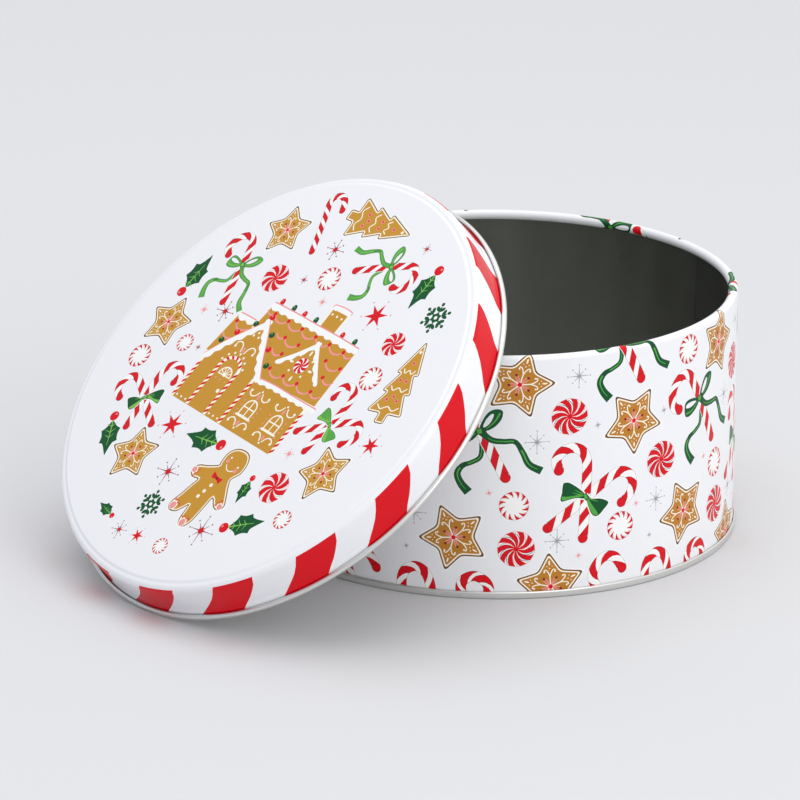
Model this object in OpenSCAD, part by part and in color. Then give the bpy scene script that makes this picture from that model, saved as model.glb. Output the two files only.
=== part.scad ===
// Round two-part cookie tin, drawn with its lid leaning on the rim.
// Three pressed pieces of tinplate: a rolled wall, a seamed base and a lid.
// +Z is up, the origin is the centre of the base on the resting plane,
// and the lid leans on the -X side of the rim.

/* [Body] */
// Outside diameter of the wall
body_d = 188; // [150:1:230]
// Height from the resting plane to the top of the rim
body_h = 97; // [70:1:130]
// Thickness of the tinplate
sheet = 0.3; // [0.25:0.01:0.35]
// Diameter of the inward curl along the rim
rim_roll = 3.8; // [3.2:0.1:4.4]

/* [Side seam] */
// Width of the welded lap on the inside of the wall
lap_w = 5; // [3:0.5:8]
// Direction of the lap, degrees from +X
lap_at = -5; // [-60:1:60]

/* [Base] */
// Height of the seam ring around the foot
seam_h = 2.9; // [2.6:0.1:3.4]
// How far the seam ring stands out past the wall
seam_out = 1; // [0.9:0.05:1.2]
// Diameter of the flat panel that the tin stands on
panel_d = 160; // [110:1:160]
// Height of the ring groove between the panel and the foot
groove_h = 2.6; // [2.2:0.1:2.8]

/* [Lid] */
// Height of the lid from its hem to its panel
lid_h = 18; // [16:0.2:26]
// Gap between the wall and the inside of the skirt
lid_gap = 0.8; // [0.5:0.1:1.5]
// Radius of the rounded shoulder
shoulder_r = 2.4; // [1.6:0.1:3.2]
// Depth of the step around the panel
step_h = 0.5; // [0.3:0.05:0.8]
// Diameter of the outward curl along the hem
hem_roll = 2.2; // [1.9:0.1:2.6]
// How far the skirt flares out before it turns into the hem curl
flare = 0.6; // [0.4:0.05:0.9]

/* [Lean] */
// Angle between the lid and the table as it leans on the rim
lid_lean = 43; // [38:0.5:48]
// Air left between the lid's panel and the rim
lean_gap = 0.3; // [0.2:0.05:0.5]

/* [Hidden] */
$fn = 180;

R = body_d / 2;
t = sheet;
rim_r = rim_roll / 2;
hem_r = hem_roll / 2;

// Centre line radii of the sheet
wall_m = R - t / 2;
chuck_m = R - 1.5 * t;
skirt_m = R + lid_gap + t / 2;
hem_c = skirt_m + flare + hem_r - t / 2;
hem_out = hem_c + hem_r;

// Points of an arc about c, from angle a to angle b
function arc(c, r, a, b, n = 8) =
    [for (i = [0:n]) let (w = a + (b - a) * i / n) c + r * [cos(w), sin(w)]];

// Soft step between two points whose ends are both level
function soft(p, q, n = 6) =
    [for (i = [0:n]) let (u = i / n, s = u * u * (3 - 2 * u))
        [p[0] + (q[0] - p[0]) * u, p[1] + (q[1] - p[1]) * s]];

// Soft flare between two points whose ends are both upright
function swell(p, q, n = 6) =
    [for (i = [0:n]) let (u = i / n, s = u * u * (3 - 2 * u))
        [p[0] + (q[0] - p[0]) * s, p[1] + (q[1] - p[1]) * u]];

// Unit normal of the step from p to q
function nrm(p, q) = let (d = q - p) [-d[1], d[0]] / norm(d);

// One side of a sheet that follows the path, d away from its centre line
function side(path, d) =
    let (m = len(path) - 1)
    [for (i = [0:m]) let (
        a = i == 0 ? nrm(path[0], path[1]) : nrm(path[i - 1], path[i]),
        b = i == m ? a : nrm(path[i], path[i + 1]),
        n1 = i == 0 ? b : a)
        path[i] + d * (n1 + b) / (1 + n1 * b)];

function back(v) = [for (i = [len(v) - 1:-1:0]) v[i]];

// A sheet of thickness t that follows the path
function sheet_of(path) = concat(side(path, t / 2), back(side(path, -t / 2)));

// Wall: body hook, straight wall and inward rim curl
hook_r = 0.35;
wall_path = concat(
    [[wall_m + hook_r + 0.25, 0.7]],
    back(arc([wall_m + hook_r, 0.7 + hook_r], hook_r, 180, 270, 5)),
    arc([R - rim_r, body_h - rim_r], rim_r - t / 2, 0, 300, 25));

// Base: flat panel, ring groove, inner wall, foot and outer seam leg
foot_r = (R + seam_out - t / 2 - chuck_m) / 2;
foot_c = [chuck_m + foot_r, t / 2 + foot_r];
leg_m = R + seam_out - t / 2;
bead = 0.6;
base_path = concat(
    [[0, t / 2]],
    soft([panel_d / 2, t / 2], [panel_d / 2 + 3.5, groove_h], 8),
    arc([chuck_m - bead, groove_h - bead], bead, 90, 0, 6),
    arc(foot_c, foot_r, 180, 360, 12),
    arc([leg_m - 0.4, seam_h - t / 2 - 0.4], 0.4, 0, 90, 5),
    [[R + t / 2 + 0.1, seam_h - t / 2]]);

// Lid: panel, soft step, shoulder, skirt, flare and outward hem curl
top_m = lid_h - t / 2;
turn = shoulder_r - t / 2;
ledge = skirt_m - turn;
lid_path = concat(
    [[0, top_m]],
    soft([ledge - 1.9, top_m], [ledge - 0.4, top_m - step_h], 6),
    arc([ledge, top_m - step_h - turn], turn, 90, 0, 8),
    back(swell([skirt_m + flare, hem_r], [skirt_m, hem_r + 3.6], 8)),
    arc([hem_c, hem_r], hem_r - t / 2, 190, 470, 24));

// The lean: the hem stands on the table and the panel lies on the rim
lean_z = hem_r * (1 - cos(lid_lean)) + (hem_out - hem_r) * sin(lid_lean);
lean_x = (R - rim_r) + (cos(lid_lean) * (body_h - rim_r - lean_z)
    - (lid_h - t - rim_r - lean_gap)) / sin(lid_lean);

module turned(path) rotate_extrude(convexity = 6) polygon(sheet_of(path));

// Rolled wall with its welded lap, printed outside and bare inside
module body_wall() {
    color("whitesmoke") {
        turned(wall_path);
        lap();
    }
}

// Second thickness of sheet where the ends of the wall overlap
module lap() {
    lap_a = asin(lap_w / 2 / R);
    z0 = groove_h + 1.2;
    rotate([0, 0, lap_at - lap_a])
        translate([0, 0, z0])
            rotate_extrude(angle = 2 * lap_a)
                translate([R - t * 1.6, 0]) square([t * 0.9, body_h - rim_roll - 1.6 - z0]);
}

// Base pressed from one disc, curled around the foot of the wall
module base_plate() {
    color("silver") turned(base_path);
}

// Lid pressed from one disc
module lid() {
    color("white")
        translate([-lean_x, 0, lean_z])
            rotate([0, -lid_lean, 0])
                turned(lid_path);
}

body_wall();
base_plate();
lid();
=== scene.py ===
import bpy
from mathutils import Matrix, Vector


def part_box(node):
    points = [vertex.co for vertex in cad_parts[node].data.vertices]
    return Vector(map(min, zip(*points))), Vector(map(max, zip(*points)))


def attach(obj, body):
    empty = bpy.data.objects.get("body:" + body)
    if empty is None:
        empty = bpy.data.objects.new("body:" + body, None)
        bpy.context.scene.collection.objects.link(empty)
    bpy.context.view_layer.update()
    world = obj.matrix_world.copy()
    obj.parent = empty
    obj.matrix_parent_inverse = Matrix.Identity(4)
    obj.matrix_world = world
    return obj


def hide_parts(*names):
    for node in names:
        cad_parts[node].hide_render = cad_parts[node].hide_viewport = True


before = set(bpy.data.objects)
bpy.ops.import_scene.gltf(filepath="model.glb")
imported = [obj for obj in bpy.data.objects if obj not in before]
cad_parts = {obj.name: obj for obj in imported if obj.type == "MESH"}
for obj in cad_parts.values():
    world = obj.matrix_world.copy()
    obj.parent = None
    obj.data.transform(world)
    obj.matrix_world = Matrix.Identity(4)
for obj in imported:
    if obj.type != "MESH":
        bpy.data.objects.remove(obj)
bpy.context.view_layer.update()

import math

import bpy
import numpy as np
from mathutils import Matrix, Vector
from mathutils.geometry import delaunay_2d_cdt

MM = 0.001
TAU = 2 * math.pi
NSEG = 240

# ---------------------------------------------------------------- sizes, mm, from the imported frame
wall_lo, wall_hi = [np.array(c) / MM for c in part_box("body_wall")]
base_lo, base_hi = [np.array(c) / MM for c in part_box("base_plate")]
lid_lo, lid_hi = [np.array(c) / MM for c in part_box("lid")]
SEAM_R = float(base_hi[0] - base_lo[0]) / 2
R = SEAM_R - 1.0
H = float(wall_hi[2])
SEAM_H = float(base_hi[2])
T = 0.3
RIM = 1.9
LID_H, HEM, SHOULDER, STEP, GAP, FLARE = 18.0, 1.1, 2.4, 0.5, 0.8, 0.6
LEAN = math.radians(43)
LAP = -5.0
SKIRT = R + GAP + T / 2
HEM_C = SKIRT + FLARE + HEM - T / 2
# the lean is read off the lid's box: its shoulder has the lowest X and its hem curl the lowest Z
LX = lid_lo[0] + SHOULDER + (SKIRT + T / 2 - SHOULDER) * math.cos(LEAN) + (LID_H - STEP - SHOULDER) * math.sin(LEAN)
LZ = lid_lo[2] + HEM + HEM_C * math.sin(LEAN) - HEM * math.cos(LEAN)

# ---------------------------------------------------------------- inks
INKS = {
    "coat": (0.86, 0.862, 0.885),
    "white": (0.93, 0.925, 0.905),
    "icing": (0.95, 0.90, 0.76),
    "red": (0.70, 0.0, 0.008),
    "deep": (0.26, 0.002, 0.014),
    "pink": (0.86, 0.30, 0.30),
    "cookie": (0.57, 0.28, 0.028),
    "biscuit": (0.50, 0.205, 0.022),
    "crust": (0.11, 0.055, 0.028),
    "green": (0.001, 0.084, 0.020),
    "leaf": (0.20, 0.52, 0.08),
    "ribbon": (0.085, 0.38, 0.055),
    "pine": (0.004, 0.055, 0.022),
    "grey": (0.33, 0.33, 0.37),
    "line": (0.10, 0.05, 0.08),
}
INK = {n: i for i, n in enumerate(INKS)}
BARE = len(INKS)
INSIDE = BARE + 1


# ---------------------------------------------------------------- drawing kit: outlines in mm
def pol(r, a):
    a = math.radians(a)
    return np.array([r * math.cos(a), r * math.sin(a)])


def disc(c, r, n=16, ry=None, turn=0.0):
    a = np.linspace(0, TAU, n, endpoint=False)
    p = np.stack([r * np.cos(a), (ry or r) * np.sin(a)], 1)
    t = math.radians(turn)
    m = np.array([[math.cos(t), math.sin(t)], [-math.sin(t), math.cos(t)]])
    return p @ m + np.array(c, float)


def curve(pts, n=6):
    """Catmull-Rom line through the points, n steps between two of them."""
    p = np.array(pts, float)
    p = np.vstack([2 * p[0] - p[1], p, 2 * p[-1] - p[-2]])
    out = []
    for i in range(1, len(p) - 2):
        for k in range(n):
            u = k / n
            out.append(0.5 * ((2 * p[i]) + (p[i + 1] - p[i - 1]) * u
                              + (2 * p[i - 1] - 5 * p[i] + 4 * p[i + 1] - p[i + 2]) * u * u
                              + (3 * p[i] - p[i - 1] - 3 * p[i + 1] + p[i + 2]) * u ** 3))
    out.append(p[-2])
    return np.array(out)


def loop(pts, n=5):
    """Closed smooth outline through the points."""
    p = list(map(tuple, pts))
    q = curve(p[-2:] + p + p[:2], n)
    return q[2 * n:len(q) - 1 - n]


def normals2(p):
    d = np.gradient(p, axis=0)
    d /= np.maximum(np.linalg.norm(d, axis=1, keepdims=True), 1e-9)
    return np.stack([-d[:, 1], d[:, 0]], 1)


def stroke(pts, w, w2=None, cap=4, mid=None):
    """Outline of a pen line of width w, or from w to w2, by way of mid halfway."""
    p = np.array(pts, float)
    s = np.concatenate([[0], np.cumsum(np.linalg.norm(np.diff(p, axis=0), axis=1))])
    s /= s[-1]
    w2 = w if w2 is None else w2
    ww = w + (w2 - w) * s if mid is None else np.interp(s, [0, 0.5, 1], [w, mid, w2])
    n = normals2(p)
    a, b = p + n * ww[:, None] / 2, p - n * ww[:, None] / 2
    parts = [b]
    if cap:
        for end, nn, r, sg in ((p[-1], n[-1], ww[-1] / 2, 1), (p[0], n[0], ww[0] / 2, -1)):
            base = math.atan2(-nn[1] * sg, -nn[0] * sg)
            arc = [end + r * np.array([math.cos(base + math.pi * k / cap), math.sin(base + math.pi * k / cap)]) for k in range(1, cap)]
            parts.append(np.array(arc).reshape(-1, 2))
            if sg == 1:
                parts.append(a[::-1])
    else:
        parts.append(a[::-1])
    return np.vstack([q for q in parts if len(q)])


def offset(p, d):
    """Outline moved outwards by d, for a counter-clockwise outline."""
    p = np.array(p, float)
    e = np.roll(p, -1, 0) - p
    e /= np.maximum(np.linalg.norm(e, axis=1, keepdims=True), 1e-9)
    n = np.stack([e[:, 1], -e[:, 0]], 1)
    m = np.roll(n, 1, 0)
    k = np.maximum(1 + (n * m).sum(1, keepdims=True), 0.35)
    return p + d * (n + m) / k


def rounded(p, r, n=4):
    """Each corner replaced by a bend that starts r before it."""
    p = np.array(p, float)
    out = []
    r = np.broadcast_to(r, len(p))
    for i in range(len(p)):
        a, b, c = p[i - 1], p[i], p[(i + 1) % len(p)]
        u = b + (a - b) / np.linalg.norm(a - b) * min(r[i], np.linalg.norm(a - b) * 0.48)
        v = b + (c - b) / np.linalg.norm(c - b) * min(r[i], np.linalg.norm(c - b) * 0.48)
        for k in range(n + 1):
            t = k / n
            out.append((1 - t) ** 2 * u + 2 * t * (1 - t) * b + t * t * v)
    return np.array(out)


def place(shapes, at=(0, 0), turn=0.0, size=1.0, flip=False):
    t = math.radians(turn)
    m = np.array([[math.cos(t), math.sin(t)], [-math.sin(t), math.cos(t)]]) * size
    f = np.array([-1.0 if flip else 1.0, 1.0])
    return [((np.array(p) * f) @ m + np.array(at, float), k) for p, k in shapes]


# ---------------------------------------------------------------- motifs, about their own centres
def cookie_star(body, halo=True):
    tip, notch = 13.2, 7.3
    raw = [pol(tip if k % 2 == 0 else notch, 90 + 36 * k) for k in range(10)]
    rr = [1.7 if k % 2 == 0 else 1.5 for k in range(10)]
    out = []
    if halo:
        out.append((rounded(offset(raw, 0.85), rr), "white"))
    out.append((rounded(offset(raw, 0.34), rr), "crust"))
    out.append((rounded(offset(raw, -0.08), rr), body))
    out.append((rounded(offset(raw, -0.24), [1.4 if k % 2 == 0 else 1.5 for k in range(10)]), "icing"))
    out.append((rounded(offset(raw, -0.74), [1.1 if k % 2 == 0 else 1.4 for k in range(10)]), body))
    for k in range(5):
        a = 90 + 72 * k
        q = []
        for s in (1, -1):
            arm = curve([pol(4.0, 0), np.array([5.4, 0.5 * s]), np.array([6.5, 1.2 * s]), np.array([6.6, 1.95 * s]), np.array([5.9, 2.1 * s])], 4)
            q.append((stroke(arm, 0.42, cap=2), "icing"))
            q.append((disc((5.85, 2.05 * s), 0.36, 8), "icing"))
            q.append((stroke([pol(0.9, 36 - 13 * s), pol(3.5, 36 - 9 * s)], 0.46, 0.36, cap=2), "pink"))
        q.append((stroke([pol(0.9, 0), pol(4.3, 0)], 0.44, cap=2), "icing"))
        q.append((disc((7.2, 0), 0.26, 8), "icing"))
        q.append((disc((9.3, 0), 1.0, 10, 0.32), "icing"))
        q.append((disc((8.0, 1.0), 0.22, 8), "icing"))
        q.append((disc((8.0, -1.0), 0.22, 8), "icing"))
        q.append((disc(pol(4.0, 36), 0.55, 8, 0.5), "deep"))
        out += place(q, turn=a)
    out.append((disc((0, 0), 0.85, 12), "red"))
    return out


def blade(r0, r1, a0, w0, w1, bend, n=7):
    u = np.linspace(0, 1, n)
    r = r0 + (r1 - r0) * u
    mid = a0 + bend * u ** 1.4
    half = (w0 + (w1 - w0) * u) / 2
    a = np.concatenate([mid - half, (mid + half)[::-1]])
    rr = np.concatenate([r, r[::-1]])
    return np.stack([rr * np.cos(np.radians(a)), rr * np.sin(np.radians(a))], 1)


def mint_swirl(n=10, ink="line", red=0.52):
    out = [(disc((0, 0), 7.25, 36), "pink"), (disc((0, 0), 7.05, 36), "white")]
    step = 360 / n
    for k in range(n):
        a = step * k
        out.append((blade(0.5, 7.15, a, step * 0.92, step * (red + 0.08), 34), "deep"))
        out.append((blade(0.5, 7.0, a, step * 0.86, step * red, 34), "red"))
        if ink:
            out.append((blade(2.4, 6.7, a + step * 0.52, 4.6, 3.2, 34), ink if k % 3 else "pink"))
    out.append((disc((0, 0), 1.0, 10), "red"))
    return out


def mint_ring(n=12):
    out = [(disc((0, 0), 5.8, 36), "pink"), (disc((0, 0), 5.6, 36), "white")]
    for k in range(n):
        a = 360 / n * k
        out.append((blade(3.4, 5.76, a, 3.0, 19, 14, 4), "deep"))
        out.append((blade(3.7, 5.6, a, 3.0, 15, 13, 4), "red"))
        out.append((blade(4.3, 5.5, a + 14, 2, 3, 12, 3), "pink"))
    return out


def cane(path, w, first=0.0, band=4.5, gap=3.8, slant=5.0, line=True):
    """Striped stick along the path; its red bands slant, the left side ahead of the right by slant."""
    p = curve(path, 10)
    s = np.concatenate([[0], np.cumsum(np.linalg.norm(np.diff(p, axis=0), axis=1))])
    n = normals2(p)
    L = s[-1]
    # whole periods, so that both ends are red
    m = max(1, round((L + abs(slant) * 0.5 - band) / (band + gap)))
    step = (L + abs(slant) * 0.5 - band) / m

    def at(d, side):
        d = min(max(d, 0.0), L)
        q = np.array([np.interp(d, s, p[:, 0]), np.interp(d, s, p[:, 1])])
        v = np.array([np.interp(d, s, n[:, 0]), np.interp(d, s, n[:, 1])])
        return q + v / np.linalg.norm(v) * side

    out = [(stroke(p, w + 0.6, cap=6), "white")]
    if line:
        out.append((stroke(p, w + 0.12, cap=6), "grey"))
    out.append((stroke(p, w - 0.16, cap=6), "white"))
    for k in range(m + 1):
        a = -abs(slant) * 0.25 + first + k * step
        for ink, trim, h in (("deep", 0.0, w / 2 - 0.03), ("red", 0.24, w / 2 - 0.16)):
            lo = [(a + trim + slant * u / 2, u * h) for u in (1, 0.5, 0, -0.5, -1)]
            hi = [(a + band - trim + slant * u / 2, u * h) for u in (-1, -0.5, 0, 0.5, 1)]
            rim_b = [(x, -h) for x in np.linspace(lo[-1][0], hi[0][0], 6)[1:-1]]
            rim_a = [(x, h) for x in np.linspace(hi[-1][0], lo[0][0], 6)[1:-1]]
            q = lo + rim_b + hi + rim_a
            if max(x for x, _ in q) > 0.2 and min(x for x, _ in q) < L - 0.2:
                out.append((np.array([at(x, y) for x, y in q]), ink))
    for end in (p[0], p[-1]):
        out.append((disc(end, w / 2 - 0.05, 14), "deep"))
        out.append((disc(end, w / 2 - 0.2, 14), "red"))
    return out


def holly(small=False):
    """Leaf from its stem at the origin to its tip at (0, -16), and a berry above the stem."""
    side = [(0.6, -0.4), (2.6, -3.0), (4.7, -4.3), (3.9, -7.0), (4.4, -10.0), (2.6, -10.6), (1.5, -12.6), (0.2, -16.4)]
    left = [(-x * 0.95, y * 0.98) for x, y in side[::-1]][1:]

    def sag(pts):
        out = []
        for a, b in zip(pts[:-1], pts[1:]):
            a, b = np.array(a, float), np.array(b, float)
            m = (a + b) / 2 * np.array([0.93, 1.0])
            for u in (0, 0.33, 0.66):
                out.append((1 - u) ** 2 * a + 2 * u * (1 - u) * m + u * u * b)
        return out + [np.array(pts[-1], float)]

    leafp = np.array(sag(side) + sag(left))
    out = [(leafp, "green")]
    out.append((stroke(curve([(0, 0.2), (0.15, -5), (0, -11.5)], 3), 0.62, 0.2, cap=2), "leaf"))
    for y, x in ((-2.9, 2.5), (-5.6, 2.7), (-8.1, 2.2)):
        for s in (1, -1):
            out.append((stroke(curve([(0.1, y), (x * 0.5 * s, y + 1.0), (x * s, y + 1.5)], 2), 0.42, 0.12, cap=2), "leaf"))
    out.append((disc((0.1, 2.1), 2.15, 18), "red"))
    out.append((disc((0.9, 2.9), 0.5, 8), "pink"))
    return out


def flake():
    """Leafy six-armed snowflake of radius 6.3."""
    gear = [pol(2.15 if k % 2 else 1.75, 15 * k) for k in range(24)]
    out = []
    for k in range(6):
        q = [(stroke([(1.5, 0), (4.6, 0)], 0.6, cap=2), "green"), (disc((5.8, 0), 0.85, 8, 0.74), "green")]
        for s in (1, -1):
            q.append((disc((3.7, 1.0 * s), 1.35, 10, 0.78, 48 * s), "green"))
        out += place(q, turn=60 * k + 90)
    out += [(np.array(gear), "green"), (disc((0, 0), 0.75, 10), "white")]
    return out


def glint(arm, dots, core=None, w=0.26, n=8, r=5.0):
    """Thin star of n arms; every other one is shorter and ends in a dot."""
    out = []
    for k in range(n):
        long_ = k % 2 == 0
        d = r if long_ else r * 0.66
        out += place([(np.array([(0, -w * 0.9), (d * 0.5, -w * 0.42), (d, -w * 0.2), (d, w * 0.2), (d * 0.5, w * 0.42), (0, w * 0.9)]), arm)], turn=360 / n * k)
        if dots:
            out += place([(disc((r * (1.1 if long_ else 0.88), 0), w * 0.95, 6), dots)], turn=360 / n * k)
    if core:
        out.append((np.array([pol(r * 0.34 if k % 2 == 0 else r * 0.13, 22.5 + 22.5 * k) for k in range(16)]), core))
    return out


def red_star():
    """Solid six-pointed star of radius 5.9 with a dot off each point."""
    out = [(np.array([pol(5.9 if k % 2 == 0 else 2.05, 30 * k) for k in range(12)]), "red")]
    for k in range(6):
        out.append((disc(pol(7.3, 60 * k), 0.42, 7), "pink"))
    return out


def bow_small(main, light, shade):
    """Tied bow of two wings, seen flat, 20 wide."""
    wl = loop([(-8.6, 6.4), (-6.7, 6.25), (-3.9, 4.4), (-1.7, 2.5), (-0.4, 0.9), (-0.8, -0.5), (-3.3, 0.0), (-6.4, -0.3), (-9.5, -0.95), (-10.0, 0.3), (-9.5, 2.2), (-9.2, 5.3)], 3)
    wr = loop([(0.6, 0.7), (2.3, -1.1), (5.8, -1.55), (8.3, -2.5), (9.5, -3.75), (7.65, -5.95), (5.8, -7.8), (4.2, -8.3), (2.65, -7.2), (1.4, -4.4), (0.5, -1.6), (-0.3, -0.9)], 3)
    out = [(offset(ccw(w), 0.55), "white") for w in (wl, wr)]
    out += [(offset(ccw(w), 0.1), shade) for w in (wl, wr)]
    out += [(offset(ccw(w), -0.15), main) for w in (wl, wr)]
    out.append((loop([(-9.6, 1.1), (-8.0, 0.8), (-5.0, 0.9), (-2.0, 1.2), (-0.8, 0.4), (-3.3, 0.15), (-6.4, -0.1), (-9.3, -0.7)], 2), light))
    out.append((loop([(0.6, -1.6), (1.5, -4.4), (2.8, -7.0), (4.2, -8.0), (5.3, -7.6), (3.7, -5.0), (2.0, -2.4), (1.1, -1.1)], 2), light))
    for a, b in (((-1.2, 1.3), (-4.4, 3.2)), ((-1.6, 0.8), (-5.2, 2.2)), ((1.4, -0.9), (5.2, -2.6))):
        out.append((stroke([a, b], 0.5, 0.16, cap=2), light))
    out.append((rounded([(-1.5, 1.3), (0.4, 1.5), (1.5, -0.9), (-0.2, -1.5)], 0.5, 2), shade))
    out.append((rounded([(-1.1, 1.0), (0.2, 1.1), (1.1, -0.7), (-0.1, -1.1)], 0.4, 2), light))
    return out


def tail(path, main, light, shade, w=(1.0, 2.3, 2.2)):
    """Ribbon end that turns over itself."""
    p = curve(path, 6)
    k = 0.44
    out = [(stroke(p, w[0] + k, w[2] + k, cap=0, mid=w[1] + k), shade), (stroke(p, w[0], w[2], cap=0, mid=w[1]), main)]
    m = len(p)
    out.append((stroke(p[m // 8: m // 2], 0.2, 0.5, cap=2), light))
    out.append((stroke(p[m * 5 // 8: m - 2], 0.7, 0.2, cap=2), light))
    out.append((stroke(p[m // 2: m * 5 // 8 + 1], 0.3, 0.3, cap=2), shade))
    return out


def cane_bow(main, light, shade):
    """Cane with a tied ribbon, about the knot; 32 wide."""
    out = []
    out += place(tail([(0.2, -1.0), (0.9, -5.0), (0.4, -10.2), (-3.0, -12.6), (-6.3, -14.0), (-8.3, -17.2), (-7.0, -21.0), (-4.0, -24.6)], main, light, shade, (1.5, 1.4, 3.2)))
    out += cane([(-13.0, -1.4), (-16.4, 0.6), (-17.2, 5.2), (-15.2, 9.6), (-10.9, 12.2), (-6.6, 10.6), (-3.6, 6.0), (0.0, 0.4), (5.3, -9.6), (10.0, -18.6)], 4.1, 0.0, slant=-5.0)
    out += tail([(0.4, -0.2), (4.6, -3.4), (9.2, -4.0), (13.6, -4.2), (16.4, -8.4), (19.0, -13.4), (23.8, -16.2)], main, light, shade, (2.2, 1.5, 2.7))
    wl = loop([(-0.4, 0.3), (-4.4, 1.1), (-8.4, 0.9), (-9.8, -1.0), (-9.2, -5.0), (-6.4, -5.4), (-2.6, -3.4), (-0.2, -0.6)], 3)
    hl = loop([(-2.4, -0.4), (-5.6, 0.1), (-8.6, -0.5), (-8.9, -1.9), (-6.2, -2.2), (-3.4, -1.3)], 3)
    wr = loop([(0.0, 0.6), (1.0, 3.8), (3.2, 7.4), (6.0, 8.8), (8.6, 8.2), (8.2, 5.0), (5.8, 2.0), (2.4, 0.2)], 3)
    hr = loop([(1.3, 1.6), (2.2, 4.4), (4.2, 6.8), (5.4, 6.9), (4.8, 4.6), (3.0, 2.2)], 3)
    for w, hole in ((wl, hl), (wr, hr)):
        out += [(offset(ccw(w), 0.1), shade), (offset(ccw(w), -0.14), main), (offset(ccw(hole), 0.16), shade), (offset(ccw(hole), -0.06), "coat")]
    out.append((stroke(curve([(-1.4, -0.9), (-5.2, -3.6), (-8.6, -4.2)], 3), 0.25, 0.8, cap=2), light))
    out.append((stroke(curve([(2.6, 1.0), (5.8, 4.0), (7.6, 7.2)], 3), 0.25, 0.8, cap=2), light))
    out.append((rounded([(-1.6, 1.1), (0.9, 1.5), (1.5, -1.1), (-0.9, -1.5)], 0.5, 2), shade))
    out.append((rounded([(-1.2, 0.8), (0.7, 1.1), (1.1, -0.8), (-0.7, -1.1)], 0.4, 2), light))
    return out


def crossed(main, light, shade):
    """Two crossed canes with a small bow on the crossing, about the knot."""
    out = cane([(-15.0, -11.3), (-6.3, -5.0), (0.0, -0.6), (5.0, 3.1), (11.3, 7.2), (15.6, 8.1), (19.4, 5.6), (20.3, 1.3), (18.4, -2.5), (15.3, -4.4)], 4.1, 0.0, slant=5.0)
    out += cane([(-10.9, 11.6), (-11.9, 15.6), (-9.7, 19.1), (-5.6, 20.3), (-1.9, 18.8), (0.2, 15.0), (0.4, 8.8), (0.0, 0.0), (-0.9, -16.6)], 4.1, 0.0, slant=-5.2)
    return out + bow_small(main, light, shade)


def ccw(p):
    p = np.array(p, float)
    q = np.roll(p, -1, 0)
    return p if (p[:, 0] * q[:, 1] - q[:, 0] * p[:, 1]).sum() > 0 else p[::-1]


def biscuit(outline, inset=0.95):
    o = ccw(outline)
    return [(offset(o, 0.75), "white"), (offset(o, 0.24), "crust"), (offset(o, -0.10), "cookie"),
            (offset(o, -inset + 0.62), "icing"), (offset(o, -inset + 0.12), "cookie")]


def fir():
    """Fir-tree biscuit on its side, 37 long, about its middle."""
    up = [(-18.5, 2.3), (-14.3, 2.3), (-14.3, 9.2), (-5.0, 4.6), (-5.0, 7.4), (3.6, 3.4), (3.6, 5.8)]
    pts = up + [(18.5, 0.0)] + [(x, -y) for x, y in up[::-1]]
    out = biscuit(rounded(pts, [1.0, 1.0, 1.5, 1.1, 1.4, 1.1, 1.4, 1.6, 1.4, 1.1, 1.4, 1.1, 1.5, 1.0, 1.0]), 0.85)
    for x, h, k in ((-10.9, 5.6, "icing"), (-2.4, 4.2, "icing"), (5.6, 2.9, "icing")):
        out.append((stroke(curve([(x, h), (x - 1.7, h * 0.55), (x - 0.2, 0), (x - 1.7, -h * 0.55), (x, -h)], 4), 0.5, cap=2), k))
    for x, y in ((-8.2, 2.6), (-8.2, -2.6), (-6.6, 0.0), (0.6, 1.6), (0.6, -1.6), (8.6, 0.0)):
        out.append((disc((x, y), 0.85, 12), "pink"))
        out.append((disc((x, y), 0.5, 10), "red"))
    out.append((disc((13.6, 0.0), 0.7, 10), "icing"))
    return out


def little_man():
    """Gingerbread figure about its bow tie, 36 tall."""
    raw = [(1062, 385), (1064, 335), (1095, 300), (1143, 290), (1195, 302), (1223, 345), (1222, 400), (1192, 440), (1205, 475), (1245, 535), (1264, 572), (1240, 598),
           (1205, 590), (1165, 555), (1155, 610), (1142, 690), (1120, 728), (1085, 738), (1062, 705), (1058, 632), (1035, 655), (1005, 683), (960, 685), (942, 655),
           (965, 600), (990, 530), (1000, 500), (955, 500), (928, 475), (945, 440), (1000, 425), (1062, 402)]

    def g(x, y):
        return ((x - 1100) / 12, (500 - y) / 12)

    out = biscuit(loop([g(*p) for p in raw], 3), 0.95)
    out.append((stroke(curve([g(1104, 384), g(1120, 403), g(1143, 410), g(1166, 402)], 4), 0.42, cap=2), "icing"))
    for x, y in ((1105, 345), (1181, 377)):
        out.append((disc(g(x, y), 0.48, 9), "icing"))
    for x, y in ((1096, 366), (1178, 398)):
        out.append((disc(g(x, y), 0.95, 12), "pink"))
    out.append(([g(1066, 434), g(1108, 456), g(1146, 456), g(1134, 486), g(1106, 468), g(1068, 468)], "red"))
    out.append((disc(g(1107, 462), 0.75, 9), "deep"))
    for x, y in ((1102, 503), (1087, 541), (1073, 575)):
        out.append((disc(g(x, y), 0.85, 12), "icing"))
    for c, a, k in (((950, 470), 155, 1.0), ((1232, 574), -40, 1.0), ((973, 650), -118, 1.25), ((1093, 706), -92, 1.25)):
        q = [(disc((0.7 * k, 0), 1.75 * k, 14, 1.6 * k), "icing"), (disc((0.9 * k, 0), 1.35 * k, 14, 1.2 * k), "pink"),
             (stroke([(-0.9, 1.9 * k), (-1.7, 1.2 * k), (-0.7, 0.5 * k), (-1.7, -0.3 * k), (-0.7, -1.1 * k), (-1.3, -1.9 * k)], 0.5, cap=2), "red")]
        out += place(q, g(*c), a)
    return out


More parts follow.
